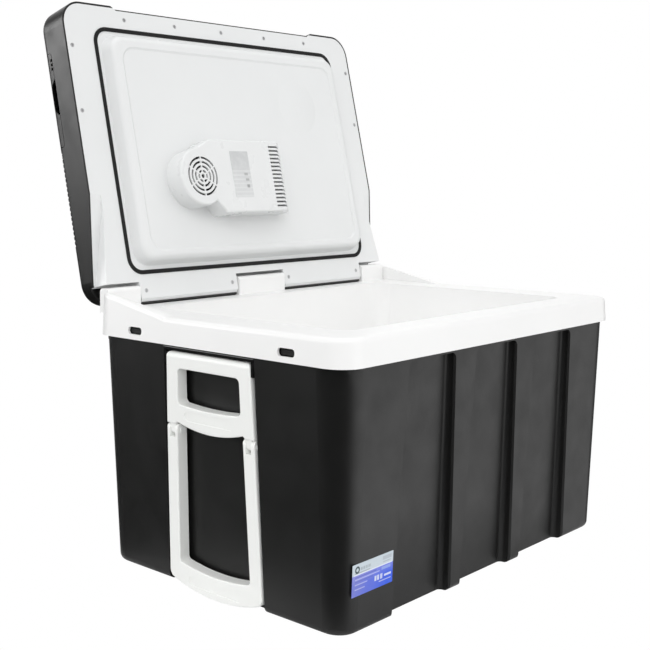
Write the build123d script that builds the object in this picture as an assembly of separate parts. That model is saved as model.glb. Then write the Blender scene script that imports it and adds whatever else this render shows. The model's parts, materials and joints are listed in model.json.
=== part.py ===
"""Trolley cool box with a thermoelectric lid: insulated tub, hinged lid with the cooler unit,
fold-out pull handle on the left end and two wheels under the right end.

Frame: X runs along the box (the handle is at -X), Y runs from front (-Y) to back (+Y),
Z is up, and the origin lies on the ground under the middle of the box. Millimetres.
The lid is drawn closed and then turned to its open stop, which is the rest position.
"""
from build123d import *
import math
import os

# ---- driving dimensions ------------------------------------------------------------------
BOX_WIDTH = 591.0            # over the skirt, along X
BOX_DEPTH = 410.0            # over the skirt, along Y
BODY_LIFT = 12.0             # ground to the underside of the tub
SKIRT_BOTTOM = 303.0
RIM_TOP = 335.0
RIM_CORNER = 30.0
RIM_ROUND = 6.0
BODY_DRAFT = 2.5             # degrees, every wall of the outer shell
SKIRT_OVERHANG = 3.0
SHELL_WALL = 3.0
LINER_WALL = 2.5
CAVITY_FLOOR = 56.0
CAVITY_HALF_X = 236.0
CAVITY_FRONT = -161.0
CAVITY_BACK = 159.0
CAVITY_CORNER = 24.0

HINGE_Y = 195.4
HINGE_Z = 344.2
OPEN_ANGLE = 102.8
LID_PLANE = 336.2            # underside of the lid frame when closed
LID_HALF_X = 290.0
LID_FRONT = -199.0
LID_BACK = 200.7
LID_HEIGHT = 52.0
LID_CORNER = 32.0
LID_WALL = 2.5
PLUG_DEPTH = 18.0
GASKET_HALF_X = 240.4
GASKET_FRONT = -165.0
GASKET_BACK = 163.6
GASKET_WIDTH = 5.5
PLUG_ROUND = 9.0
DISH_HALF_X = 214.0          # shallow dish in the plug's face
DISH_FRONT = -138.0
DISH_BACK = 140.0
DISH_DEPTH = 1.6
DOME_X = 124.0               # faint round swelling of the dish
DOME_Y = -70.0
DOME_HALF = 42.0
DOME_HEIGHT = 2.0

RECESS_PITCH = 134.5         # the three upright recesses of the front wall
RECESS_TOP_HALF = 42.75
RECESS_FOOT_HALF = 55.5
RECESS_TOP_DEPTH = 10.0
RECESS_FOOT_DEPTH = 15.0
RECESS_ROUND = 6.0
RECESS_FLARE = 2.2

HANDLE_THICK = 16.0
HANDLE_TOP = 296.0
HANDLE_FOOT = 6.0
HANDLE_HINGE_Z = 289.0
HANDLE_KNEE_Z = 201.0
HANDLE_HALF_TOP = 68.5
HANDLE_HALF_KNEE = 71.7
HANDLE_HALF_FOOT = 76.5
HANDLE_LEG = 18.5
HANDLE_EAR = 5.0             # from the handle's side to the outside of the bracket's ear

UNIT_X = -127.0              # axis of the cooler unit, fans and grilles
UNIT_Y = 45.0
SHROUD_DRUM = 40.0           # radius of the shroud's round end
SHROUD_END = 43.0            # its outlet end, along X
SHROUD_HALF = 51.5           # half width of its outlet box
COLD_HALF = 25.5             # half side of the cold heat sink
COLD_FAN_LOW = 296.5         # heights of the cooler unit's stack, with the lid closed
COLD_FAN_HIGH = 308.5
COLD_FINS = 309.0
COLD_PLATE = 322.0
SPACER_LOW = 328.0
MODULE_LOW = 346.0
HOT_PLATE = 350.0
HOT_FINS = 355.0
HOT_FAN_LOW = 367.0
HOT_FAN_HIGH = 379.0
HOT_HALF = 45.0              # half side of the hot heat sink
BOARD_LOW = 358.0
BOARD_TOP = 359.6
WHEEL_RADIUS = 22.0
WHEEL_WIDTH = 24.0
WHEEL_X = 256.0
WHEEL_Y = 140.0
RUNNING_FIT = 0.05

# ---- worked-out values -------------------------------------------------------------------
HALF_X = BOX_WIDTH / 2
HALF_Y = BOX_DEPTH / 2
TAN_DRAFT = math.tan(math.radians(BODY_DRAFT))
BODY_TOP_X = HALF_X - SKIRT_OVERHANG
BODY_TOP_Y = HALF_Y - SKIRT_OVERHANG
BODY_RISE = SKIRT_BOTTOM - BODY_LIFT
BODY_FOOT_X = BODY_TOP_X - BODY_RISE * TAN_DRAFT
BODY_FOOT_Y = BODY_TOP_Y - BODY_RISE * TAN_DRAFT
TUCK_TOP = 316.0             # the shell's upper edge, hidden inside the skirt
LID_TOP = LID_PLANE + LID_HEIGHT
PLUG_FACE = LID_PLANE - PLUG_DEPTH
PANEL_FACE = PLUG_FACE + DISH_DEPTH
SHROUD_FACE = LID_PLANE - 45.0
BARREL = HINGE_Z - LID_PLANE   # radius of the lid's hinge barrels


# ---- small helpers -----------------------------------------------------------------------
def block(x0, x1, y0, y1, z0, z1):
    return Pos((x0 + x1) / 2, (y0 + y1) / 2, (z0 + z1) / 2) * Box(x1 - x0, y1 - y0, z1 - z0)


def slab(x0, x1, y0, y1, z0, z1, radius, taper=0.0):
    """Upright plate with rounded corners; a positive taper narrows it upwards."""
    outline = Pos((x0 + x1) / 2, (y0 + y1) / 2, z0) * RectangleRounded(x1 - x0, y1 - y0, radius)
    return extrude(outline, amount=z1 - z0, taper=taper)


def rod_x(x0, x1, y, z, radius):
    return Pos((x0 + x1) / 2, y, z) * Rot(0, 90, 0) * Cylinder(radius, x1 - x0)


def rod_y(x, y0, y1, z, radius):
    return Pos(x, (y0 + y1) / 2, z) * Rot(90, 0, 0) * Cylinder(radius, y1 - y0)


def rod_z(x, y, z0, z1, radius):
    return Pos(x, y, (z0 + z1) / 2) * Cylinder(radius, z1 - z0)


def prism_x(points, x0, x1):
    """Outline given as (y, z) points, carried from x0 to x1."""
    return extrude(Plane.YZ.offset(x0) * Polygon(*points, align=None), amount=x1 - x0, dir=(1, 0, 0))


def prism_y(points, y0, y1):
    """Outline given as (x, z) points, carried from y0 to y1."""
    return extrude(Plane.XZ.offset(-y1) * Polygon(*points, align=None), amount=y1 - y0, dir=(0, -1, 0))


def prism_z(points, z0, z1):
    return extrude(Plane.XY.offset(z0) * Polygon(*points, align=None), amount=z1 - z0, dir=(0, 0, 1))


def both_ends(shape):
    return shape + mirror(shape, about=Plane.YZ)


def open_lid(shape):
    return shape.rotate(Axis((0, HINGE_Y, HINGE_Z), (1, 0, 0)), -OPEN_ANGLE)


def save(name, shape):
    export_step(shape, "parts/" + name + ".step")


def group(shapes):
    return Compound(children=list(shapes))


# ---- tub: outer shell --------------------------------------------------------------------
def body_solid(shrink, z_low, z_high):
    """The tapered tub, its walls moved inwards by shrink."""
    drop = (z_low - BODY_LIFT) * TAN_DRAFT
    half_x = BODY_FOOT_X + drop - shrink
    half_y = BODY_FOOT_Y + drop - shrink
    radius = max(RIM_CORNER - 4 - shrink, 4)
    return slab(-half_x, half_x, -half_y, half_y, z_low, z_high, radius, taper=-BODY_DRAFT)


def wall_y(z):
    """Place of the front wall's outer face at height z."""
    return -BODY_FOOT_Y - (z - BODY_LIFT) * TAN_DRAFT


def recess_section(half, depth, z):
    """Level section of a front recess: flared mouth, straight sides and rounded inner corners."""
    mouth = wall_y(z)
    back = mouth + depth
    turn = RECESS_ROUND
    corner = turn * (1 - math.sqrt(0.5))
    outline = Polyline((-half, back - turn), (-half, mouth + RECESS_FLARE), (-half - RECESS_FLARE, mouth),
                       (-half - RECESS_FLARE, -HALF_Y - 20), (half + RECESS_FLARE, -HALF_Y - 20),
                       (half + RECESS_FLARE, mouth), (half, mouth + RECESS_FLARE), (half, back - turn))
    outline += ThreePointArc((half, back - turn), (half - corner, back - corner), (half - turn, back))
    outline += Line((half - turn, back), (-half + turn, back))
    outline += ThreePointArc((-half + turn, back), (-half + corner, back - corner), (-half, back - turn))
    return Pos(0, 0, z) * make_face(outline)


def front_recess(extra):
    """One recess of the front wall, grown by extra on every side but the front."""
    top_z = SKIRT_BOTTOM - 3 + extra
    grow = (RECESS_FOOT_HALF - RECESS_TOP_HALF) / (SKIRT_BOTTOM - BODY_LIFT)
    top = recess_section(RECESS_TOP_HALF + extra, RECESS_TOP_DEPTH + extra, SKIRT_BOTTOM + 10)
    foot = recess_section(RECESS_FOOT_HALF + extra + grow * 30, RECESS_FOOT_DEPTH + extra, BODY_LIFT - 30)
    channel = loft([foot, top], ruled=True)
    wide = RECESS_FOOT_HALF + RECESS_FLARE + extra + 20
    narrow = RECESS_TOP_HALF + RECESS_FLARE + extra + grow * 3
    front_view = prism_y([(-wide, -40), (wide, -40), (narrow, top_z), (-narrow, top_z)], -HALF_Y - 30, -100)
    shoulders = front_view.edges().filter_by(Axis.Y).filter_by(lambda e: e.center().Z > top_z - 1)
    return channel & fillet(shoulders, RECESS_ROUND + 3)


def handle_recess(extra):
    """Channel of the left wall for the folded handle, open at the foot."""
    depth = HANDLE_THICK + 3.5 + extra
    face_top = -BODY_TOP_X
    face_foot = -BODY_FOOT_X
    outer = -HALF_X - 20
    top_z = SKIRT_BOTTOM - 1 + extra
    side = prism_y([(outer, 0), (face_foot + depth, 0), (face_foot + depth, BODY_LIFT),
                    (face_top + depth, top_z), (outer, top_z)], -110, 110)
    top_half = HANDLE_HALF_TOP + HANDLE_EAR + 0.6 + extra
    foot_half = HANDLE_HALF_FOOT + 2.5 + extra
    plan = prism_x([(-foot_half, 0), (foot_half, 0), (top_half, top_z), (-top_half, top_z)],
                   outer, face_foot + depth + 10)
    return side & plan


def grip_recess(extra):
    """Hand hold of the right wall, just under the skirt."""
    return block(BODY_TOP_X - 22 - extra, HALF_X + 20, -62 - extra, 62 + extra,
                 246 - extra, 292 + extra)


def wheel_well(side, extra):
    half = WHEEL_WIDTH / 2 + 4 + extra
    y_mid = side * WHEEL_Y
    return block(WHEEL_X - WHEEL_RADIUS - 5 - extra, HALF_X + 20, y_mid - half, y_mid + half,
                 0, WHEEL_RADIUS * 2 + 5 + extra)


def recess_cuts(extra):
    cuts = handle_recess(extra) + grip_recess(extra)
    for index in (-1, 0, 1):
        cuts += Pos(index * RECESS_PITCH, 0, 0) * front_recess(extra)
    for side in (-1, 1):
        cuts += wheel_well(side, extra)
    return cuts


TUCK = SKIRT_OVERHANG + 1.5   # the upper edge steps in to pass inside the skirt
SLOT_Y = 123.6
SLOT_Z = 314.0


def make_outer_shell():
    outside = body_solid(0, BODY_LIFT, SKIRT_BOTTOM - 0.5)
    outside = fillet(outside.faces().sort_by(Axis.Z)[0].edges(), 9)
    tuck = slab(-BODY_TOP_X + TUCK, BODY_TOP_X - TUCK, -BODY_TOP_Y + TUCK, BODY_TOP_Y - TUCK,
                SKIRT_BOTTOM - 6, TUCK_TOP, RIM_CORNER - 8)
    outside += tuck
    for side_x in (-1, 1):
        for side_y in (-1, 1):
            tab = block(BODY_TOP_X - TUCK - 1, BODY_TOP_X - TUCK + 3.2, SLOT_Y - 10, SLOT_Y + 10,
                        SLOT_Z - 3.2, SLOT_Z + 2.0)
            if side_x < 0:
                tab = mirror(tab, about=Plane.YZ)
            if side_y < 0:
                tab = mirror(tab, about=Plane.XZ)
            outside += tab
    inside = body_solid(SHELL_WALL, BODY_LIFT + SHELL_WALL, SKIRT_BOTTOM - 4)
    inside += slab(-BODY_TOP_X + TUCK + SHELL_WALL, BODY_TOP_X - TUCK - SHELL_WALL,
                   -BODY_TOP_Y + TUCK + SHELL_WALL, BODY_TOP_Y - TUCK - SHELL_WALL,
                   SKIRT_BOTTOM - 10, TUCK_TOP + 1, RIM_CORNER - 11)
    return outside - recess_cuts(0) - (inside - recess_cuts(SHELL_WALL))


# ---- tub: liner, rim and the fixed half of the lid hinge ------------------------------------
CHEEK_START = 73.0
CHEEK_SLOPE = 0.19
CHEEK_PLAN = [(276.0, 60.0), (276.0, 84.0), (287.5, 178.0), (287.5, 230.0), (310.0, 230.0), (310.0, 60.0)]
KNUCKLE_HALF_Y = 9.0
HINGE_ROD = 2.5


def cheek():
    """Raised shoulder at one end of the rim; it slopes up to the lid hinge."""
    peak = RIM_TOP + CHEEK_SLOPE * (HINGE_Y - CHEEK_START)
    side = prism_x([(CHEEK_START, RIM_TOP), (HINGE_Y, peak), (HINGE_Y, RIM_TOP - 12),
                    (CHEEK_START, RIM_TOP - 12)], 240, HALF_X + 4)
    round_back = rod_x(240, HALF_X + 4, HINGE_Y, HINGE_Z, peak - HINGE_Z)
    side += round_back & block(240, HALF_X + 4, HINGE_Y, HALF_Y + 20, RIM_TOP - 12, peak + 1)
    side += block(240, HALF_X + 4, HINGE_Y, HINGE_Y + 14, RIM_TOP - 12, HINGE_Z)
    return side & prism_z(CHEEK_PLAN, RIM_TOP - 12, peak + 5)


def knuckle(x0, x1):
    """Upright post that carries one end of a hinge rod."""
    post = block(x0, x1, HINGE_Y - KNUCKLE_HALF_Y, HINGE_Y + KNUCKLE_HALF_Y - 1.5, RIM_TOP - 6, HINGE_Z + 16)
    tops = post.edges().filter_by(Axis.X).sort_by(Axis.Z)[-2:]
    return fillet(tops, 5)


def skirt_outline(inset, z_low, z_high):
    return slab(-HALF_X + inset, HALF_X - inset, -HALF_Y + inset, HALF_Y - inset, z_low, z_high,
                RIM_CORNER - inset, taper=3.0)


def tub(grow, z_low, z_high):
    """The cavity's tapered space grown by grow, from z_low up to z_high."""
    fall = (RIM_TOP - z_low) * math.tan(math.radians(2.0))
    return slab(-CAVITY_HALF_X + fall - grow, CAVITY_HALF_X - fall + grow,
                CAVITY_FRONT + fall - grow, CAVITY_BACK - fall + grow,
                z_low, z_high, CAVITY_CORNER - 8 + grow, taper=-2.0)


def make_inner_liner():
    rim = skirt_outline(0, SKIRT_BOTTOM, RIM_TOP)
    rim = fillet(rim.faces().sort_by(Axis.Z)[-1].edges(), RIM_ROUND)
    inner = skirt_outline(3.0, SKIRT_BOTTOM - 1, RIM_TOP - 3)
    rim -= inner
    trim = skirt_outline(0, SKIRT_BOTTOM, RIM_TOP + 40) & block(-400, 400, -300, 300, RIM_TOP - 12, 400)
    shoulder = cheek() & trim & block(240, 400, 0, HALF_Y - 2.5, 300, 400)
    crest = shoulder.edges().filter_by(lambda e: e.center().X > HALF_X - 4 and e.center().Z > RIM_TOP + 1)
    rim += both_ends(fillet(crest.filter_by(lambda e: e.length > 20), RIM_ROUND - 1))
    for x0, x1 in ((-285.0, -231.0), (-47.5, 47.5), (231.0, 285.0)):
        rim += knuckle(x0, x1)
    rim += tub(LINER_WALL, CAVITY_FLOOR - LINER_WALL, RIM_TOP - 1)
    mouth = tub(0, CAVITY_FLOOR, RIM_TOP + 5)
    rim -= mouth
    for side in (-1, 1):
        trough_x = sorted((side * 49.0, side * 229.5))
        rim -= rod_x(trough_x[0], trough_x[1], HINGE_Y, HINGE_Z, BARREL + 3.2)
        rod_ends = sorted((side * 22.0, side * 262.0))
        rim -= rod_x(rod_ends[0], rod_ends[1], HINGE_Y, HINGE_Z, HINGE_ROD)
        for slot_side in (-1, 1):
            slot = slab(-12.3, 12.3, -4.6, 4.6, -8, 8, 4.0)
            rim -= Pos(side * HALF_X, slot_side * SLOT_Y, SLOT_Z) * Rot(0, 90, 0) * Rot(0, 0, 90) * slot
    return rim


def make_foam():
    """Foam filling between the outer shell and the liner."""
    fill = body_solid(SHELL_WALL, BODY_LIFT + SHELL_WALL, SKIRT_BOTTOM - 4)
    fill += slab(-BODY_TOP_X + TUCK + SHELL_WALL, BODY_TOP_X - TUCK - SHELL_WALL,
                 -BODY_TOP_Y + TUCK + SHELL_WALL, BODY_TOP_Y - TUCK - SHELL_WALL,
                 SKIRT_BOTTOM - 4, RIM_TOP - 13, RIM_CORNER - 11)
    return fill - recess_cuts(SHELL_WALL) - tub(LINER_WALL, CAVITY_FLOOR - LINER_WALL, RIM_TOP)


def make_hinge_rod(side):
    ends = sorted((side * 22.0, side * 262.0))
    return rod_x(ends[0], ends[1], HINGE_Y, HINGE_Z, HINGE_ROD)


def make_rating_label():
    """Thin printed plate on the front wall, beside the left corner."""
    z0 = 56.0
    z1 = 91.5
    y0 = -BODY_FOOT_Y - (z0 - BODY_LIFT) * TAN_DRAFT
    y1 = -BODY_FOOT_Y - (z1 - BODY_LIFT) * TAN_DRAFT
    return prism_x([(y0, z0), (y0 - 0.5, z0), (y1 - 0.5, z1), (y1, z1)], -266.0, -195.0)


# ---- feet and wheels -------------------------------------------------------------------------
RING_X0 = -245.0
RING_X1 = 212.0
RING_HALF_Y = 150.0
RING_WIDTH = 16.0
FOOT_SCREWS = [(x, side * (RING_HALF_Y - RING_WIDTH / 2)) for x in (-170.0, 0.0, 150.0) for side in (-1, 1)]


def make_foot_ring():
    """Ring that the tub stands on, set in from its lower edge."""
    ring = slab(RING_X0, RING_X1, -RING_HALF_Y, RING_HALF_Y, 0, BODY_LIFT, 34)
    ring -= slab(RING_X0 + RING_WIDTH, RING_X1 - RING_WIDTH, -RING_HALF_Y + RING_WIDTH,
                 RING_HALF_Y - RING_WIDTH, -1, BODY_LIFT + 1, 20)
    for x, y in FOOT_SCREWS:
        ring -= rod_z(x, y, -1, 5, 5.0)
    return ring


def make_foot_screws():
    return group(rod_z(x, y, 2.0, 4.9, 4.4) for x, y in FOOT_SCREWS)


def make_axle_mount():
    """Two bearing blocks per wheel, under the tub, as separate solids of one moulding set."""
    blocks = []
    for side in (-1, 1):
        for edge in (-1, 1):
            y_mid = side * WHEEL_Y + edge * (WHEEL_WIDTH / 2 + 2.6)
            plate = block(WHEEL_X - 12, WHEEL_X + 12, y_mid - 1.4, y_mid + 1.4,
                          WHEEL_RADIUS - 9, WHEEL_RADIUS * 2 + 5)
            plate -= rod_y(WHEEL_X, y_mid - 5, y_mid + 5, WHEEL_RADIUS, 4.0)
            blocks.append(plate)
    return group(blocks)


def make_axle():
    reach = WHEEL_WIDTH / 2 + 4
    pins = [rod_y(WHEEL_X, side * WHEEL_Y - reach, side * WHEEL_Y + reach, WHEEL_RADIUS, 4.0)
            for side in (-1, 1)]
    return group(pins)


def make_wheel_hub(side):
    y_mid = side * WHEEL_Y
    half = WHEEL_WIDTH / 2
    hub = rod_y(WHEEL_X, y_mid - half + 1, y_mid + half - 1, WHEEL_RADIUS, WHEEL_RADIUS - 6)
    web = rod_y(WHEEL_X, y_mid + 3, y_mid + half, WHEEL_RADIUS, WHEEL_RADIUS - 10)
    web += rod_y(WHEEL_X, y_mid - half, y_mid - 3, WHEEL_RADIUS, WHEEL_RADIUS - 10)
    hub -= web
    hub += rod_y(WHEEL_X, y_mid - half, y_mid + half, WHEEL_RADIUS, 8)
    return hub - rod_y(WHEEL_X, y_mid - 30, y_mid + 30, WHEEL_RADIUS, 4.0 + RUNNING_FIT)


def make_tyre(side):
    y_mid = side * WHEEL_Y
    half = WHEEL_WIDTH / 2
    tyre = rod_y(WHEEL_X, y_mid - half, y_mid + half, WHEEL_RADIUS, WHEEL_RADIUS)
    tyre = fillet(tyre.edges().filter_by(GeomType.CIRCLE), 3)
    return tyre - rod_y(WHEEL_X, y_mid - 30, y_mid + 30, WHEEL_RADIUS, WHEEL_RADIUS - 6)


# ---- handle ------------------------------------------------------------------------------------
# The handle is drawn upright in a plane that leans with the left wall.
HANDLE_PROUD = 1.5
HANDLE_LEAN = BODY_DRAFT
KNEE_PIN = 2.5
PAD_DEPTH = 0.7
HANDLE_ROD = 3.0
HANDLE_FACE_X = -BODY_TOP_X - HANDLE_PROUD
HANDLE_AXIS_X = HANDLE_FACE_X + HANDLE_THICK / 2 + (SKIRT_BOTTOM - HANDLE_HINGE_Z) * TAN_DRAFT


def lean(shape):
    """Tilt from the upright drawing plane into line with the drafted wall."""
    return shape.rotate(Axis((HANDLE_AXIS_X, 0, HANDLE_HINGE_Z), (0, 1, 0)), -HANDLE_LEAN)


def bar_plate(outline, half_thick=HANDLE_THICK / 2):
    """Outline in (y, z), extruded through the handle's thickness about its pivot plane."""
    face = Plane.YZ.offset(HANDLE_AXIS_X - half_thick) * make_face(outline)
    return extrude(face, amount=2 * half_thick, dir=(1, 0, 0))


def bowed(top, shoulders, half, z_side, z_mid):
    """Closed outline: level top, side points, and an arc from -half to +half at the foot."""
    half_top, z_top = top
    right = [(half_top, z_top)] + shoulders + [(half, z_side)]
    left = [(-y, z) for y, z in reversed(right)]
    return Polyline(*(left + right)) + ThreePointArc((half, z_side), (0, z_mid), (-half, z_side))


def round_along_x(shape, radius, pick):
    return fillet(shape.edges().filter_by(Axis.X).filter_by(pick), radius)


def soften(shape, front=1.6, back=0.8):
    """Round the edges of the front and back faces."""
    shape = fillet(shape.faces().sort_by(Axis.X)[0].edges(), front)
    return fillet(shape.faces().sort_by(Axis.X)[-1].edges(), back)


def grip_pad(length, height, z_mid):
    """Shallow oval dip in the front face of a bar."""
    dip = Plane.YZ.offset(HANDLE_AXIS_X - HANDLE_THICK / 2 - 1) * Pos(0, z_mid) * SlotOverall(length, height)
    return extrude(dip, amount=1 + PAD_DEPTH, dir=(1, 0, 0))


def knee_places():
    return [side * (HANDLE_HALF_KNEE - HANDLE_LEG / 2) for side in (-1, 1)]


def make_handle_upper():
    """Upper frame: the hand hole, the finger bar and two tongues for the knee pins."""
    knee_top = HANDLE_KNEE_Z + 8.0
    inner_knee = HANDLE_HALF_KNEE - HANDLE_LEG + 1.0
    shoulders = [(HANDLE_HALF_KNEE, knee_top), (inner_knee + 3, knee_top)]
    frame = bar_plate(bowed((HANDLE_HALF_TOP, HANDLE_TOP), shoulders, inner_knee, knee_top + 2.5, knee_top - 5.5))
    frame = round_along_x(frame, 7.0, lambda e: e.center().Z > HANDLE_TOP - 2)
    hole_top = HANDLE_TOP - 19.5
    hole_foot = HANDLE_TOP - 62.0
    hole = bar_plate(bowed((50.5, hole_top), [], 51.5, hole_foot, hole_foot - 3.0), 20)
    frame -= round_along_x(hole, 6.0, lambda e: abs(e.center().Y) > 49)
    frame = soften(frame)
    frame -= grip_pad(80, 11, hole_foot - 13.5)
    for y_mid in knee_places():
        tongue = block(HANDLE_AXIS_X - 6.0, HANDLE_AXIS_X + 6.0, y_mid - 4.2, y_mid + 4.2,
                       HANDLE_KNEE_Z, knee_top + 8)
        tongue += rod_y(HANDLE_AXIS_X, y_mid - 4.2, y_mid + 4.2, HANDLE_KNEE_Z, 6.0)
        frame += tongue
        frame -= rod_y(HANDLE_AXIS_X, y_mid - 12, y_mid + 12, HANDLE_KNEE_Z, KNEE_PIN)
    top_round = rod_y(HANDLE_AXIS_X, -90, 90, HANDLE_HINGE_Z, HANDLE_THICK / 2)
    frame &= top_round + block(-400, -200, -90, 90, 0, HANDLE_HINGE_Z)
    frame -= rod_y(HANDLE_AXIS_X, -90, 90, HANDLE_HINGE_Z, HANDLE_ROD + RUNNING_FIT)
    return lean(frame)


def make_handle_lower():
    """Lower loop: two forked legs and a bowed grip bar."""
    knee_end = HANDLE_KNEE_Z + 7.0
    corner_z = HANDLE_FOOT + 14.0
    loop = bar_plate(bowed((HANDLE_HALF_KNEE, knee_end), [], HANDLE_HALF_FOOT, corner_z, HANDLE_FOOT))
    loop = round_along_x(loop, 10.0, lambda e: e.center().Z < corner_z + 1)
    inner_top = HANDLE_HALF_KNEE - HANDLE_LEG
    inner_foot = HANDLE_HALF_FOOT - HANDLE_LEG
    grip_top = HANDLE_FOOT + 34.0
    gap = bar_plate(bowed((inner_top, knee_end + 20), [], inner_foot, grip_top, grip_top - 6.0), 20)
    loop -= round_along_x(gap, 5.0, lambda e: e.center().Z < grip_top + 3)
    loop = soften(loop)
    loop -= grip_pad(86, 12, HANDLE_FOOT + 14.5)
    tips = rod_y(HANDLE_AXIS_X, -90, 90, HANDLE_KNEE_Z, HANDLE_THICK / 2)
    loop &= tips + block(-400, -200, -90, 90, 0, HANDLE_KNEE_Z)
    for y_mid in knee_places():
        loop -= block(HANDLE_AXIS_X - 20, HANDLE_AXIS_X + 20, y_mid - 4.5, y_mid + 4.5,
                      HANDLE_KNEE_Z - 8.5, HANDLE_KNEE_Z + 20)
        loop -= rod_y(HANDLE_AXIS_X, y_mid - 12, y_mid + 12, HANDLE_KNEE_Z, KNEE_PIN + RUNNING_FIT)
    return lean(loop)


def make_handle_pins():
    """Knee pins, each with a thin head outside both cheeks of the fork."""
    cheek_face = HANDLE_LEG / 2 + 0.4
    pins = []
    for y_mid in knee_places():
        pin = rod_y(HANDLE_AXIS_X, y_mid - cheek_face, y_mid + cheek_face, HANDLE_KNEE_Z, KNEE_PIN)
        for side in (-1, 1):
            ends = sorted((y_mid + side * cheek_face, y_mid + side * (cheek_face + 1.0)))
            pin += rod_y(HANDLE_AXIS_X, ends[0], ends[1], HANDLE_KNEE_Z, KNEE_PIN + 1.6)
        pins.append(lean(pin))
    return group(pins)


def make_handle_rod():
    reach = HANDLE_HALF_TOP + HANDLE_EAR - 0.5
    return lean(rod_y(HANDLE_AXIS_X, -reach, reach, HANDLE_HINGE_Z, HANDLE_ROD))


def make_handle_bracket():
    """Ledge over the handle with an ear at each end for the pivot rod."""
    back = HANDLE_FACE_X + HANDLE_THICK + 3.0
    outer = HANDLE_HALF_TOP + HANDLE_EAR
    ledge = block(HANDLE_FACE_X + 1.0, back, -outer, outer, SKIRT_BOTTOM - 5.5, SKIRT_BOTTOM - 1.2)
    ledge = fillet(ledge.edges().filter_by(Axis.Y).sort_by(Axis.X)[0], 1.5)
    for side in (-1, 1):
        span = sorted((side * (HANDLE_HALF_TOP + 1.2), side * outer))
        ledge += block(HANDLE_FACE_X + 1.5, back, span[0], span[1], HANDLE_HINGE_Z - 9, SKIRT_BOTTOM - 1.2)
    return ledge - rod_y(HANDLE_AXIS_X, -90, 90, HANDLE_HINGE_Z, HANDLE_ROD)


# ---- lid ------------------------------------------------------------------------------------------
MARGIN_START = 58.8
MARGIN_SLOPE = 0.19
POCKET_REACH = 19.7


def lid_outline(inset, z_low, z_high, taper=2.0):
    return slab(-LID_HALF_X + inset, LID_HALF_X - inset, LID_FRONT + inset, LID_BACK - inset,
                z_low, z_high, LID_CORNER - inset, taper=taper)


def margin_wedge(grow):
    """Space above the rim's shoulder at one end, where the lid's edge climbs to the hinge."""
    rise = LID_PLANE + grow
    top = rise + MARGIN_SLOPE * (240 - MARGIN_START)
    side = prism_x([(MARGIN_START - grow, 300), (MARGIN_START - grow, rise), (240, top), (240, 300)], 240, 320)
    plan = prism_z([(270.5 - grow, 40), (270.5 - grow, 81), (283.5 - grow, 175), (283.5 - grow, 240),
                    (320, 240), (320, 40)], 290, 400)
    return side & plan


def hinge_pockets(grow):
    """Spaces in the lid for the three posts of the rim."""
    y0 = HINGE_Y - POCKET_REACH - grow
    z1 = HINGE_Z + POCKET_REACH + grow
    spaces = block(-49.5 - grow, 49.5 + grow, y0, 240, 300, z1)
    return spaces + both_ends(block(229.0 - grow, 320, y0, 240, 300, z1))


def finger_notch(z_high):
    """Set-back of the lid's front edge, where fingers lift it."""
    return prism_z([(-205, LID_FRONT - 5), (-205, LID_FRONT), (-197, LID_FRONT + 5.8),
                    (197, LID_FRONT + 5.8), (205, LID_FRONT), (205, LID_FRONT - 5)], 300, z_high)


def lid_clearances(grow):
    return both_ends(margin_wedge(grow)) + hinge_pockets(grow)


DOOR_X0 = -LID_HALF_X - 2
DOOR_X1 = -206.0
DOOR_Y0 = -138.0
DOOR_Y1 = -12.0
BAY_FLOOR = 352.0
LOUVRE_COUNT = 20
LOUVRE_PITCH = 6.4
LOUVRE_WIDTH = 2.8
LOUVRE_Y0 = -6.0
LOUVRE_DEPTH = 0.8


def unit_shaft(half, z0, z1):
    return block(UNIT_X - half, UNIT_X + half, UNIT_Y - half, UNIT_Y + half, z0, z1)


def hinge_lip(side):
    """Thin hood of the shell that follows the outer side of one hinge barrel."""
    x0, x1 = sorted((side * 51.5, side * 227.0))
    lip = rod_x(x0, x1, HINGE_Y, HINGE_Z, BARREL + 2.0)
    lip &= block(x0 - 1, x1 + 1, HINGE_Y + 2.5, 240, HINGE_Z - 5.0, HINGE_Z + 20)
    lip += block(x0, x1, HINGE_Y + 2.5, LID_BACK - 1.5, HINGE_Z + BARREL + 0.9, HINGE_Z + BARREL + 3.0)
    return lip - rod_x(x0 - 2, x1 + 2, HINGE_Y, HINGE_Z, BARREL + 0.3)


def make_lid_shell():
    outside = lid_outline(0, LID_PLANE, LID_TOP)
    outside = fillet(outside.faces().sort_by(Axis.Z)[-1].edges(), 11)
    inside = lid_outline(LID_WALL, LID_PLANE - 1, LID_TOP - LID_WALL)
    inside = fillet(inside.faces().sort_by(Axis.Z)[-1].edges(), 9)
    shell = outside - inside
    panel_dip = slab(-176, 268, -172, 172, LID_TOP - 1.2, LID_TOP + 5, 22)
    shell -= panel_dip
    shell -= lid_clearances(0)
    shell -= finger_notch(LID_PLANE + 9)
    for side in (-1, 1):
        span = sorted((side * 49.0, side * 229.5))
        shell -= block(span[0], span[1], HINGE_Y - 12, 240, 300, HINGE_Z + BARREL + 1.2)
        shell += hinge_lip(side)
    shell -= door_space(0.0)
    shell -= rod_z(UNIT_X, UNIT_Y, LID_TOP - 10, LID_TOP + 5, 44.0)
    skin = lid_outline(LOUVRE_DEPTH, LID_PLANE - 1, LID_TOP - LOUVRE_DEPTH)
    skin = fillet(skin.faces().sort_by(Axis.Z)[-1].edges(), 10)
    for i in range(LOUVRE_COUNT):
        y0 = LOUVRE_Y0 + i * LOUVRE_PITCH
        shell -= block(-LID_HALF_X - 5, -215, y0, y0 + LOUVRE_WIDTH, LID_TOP - 9, LID_TOP + 5) - skin
        shell -= block(-268, -222, y0, y0 + LOUVRE_WIDTH, LID_TOP - 5, LID_TOP + 5)
    return shell


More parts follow.
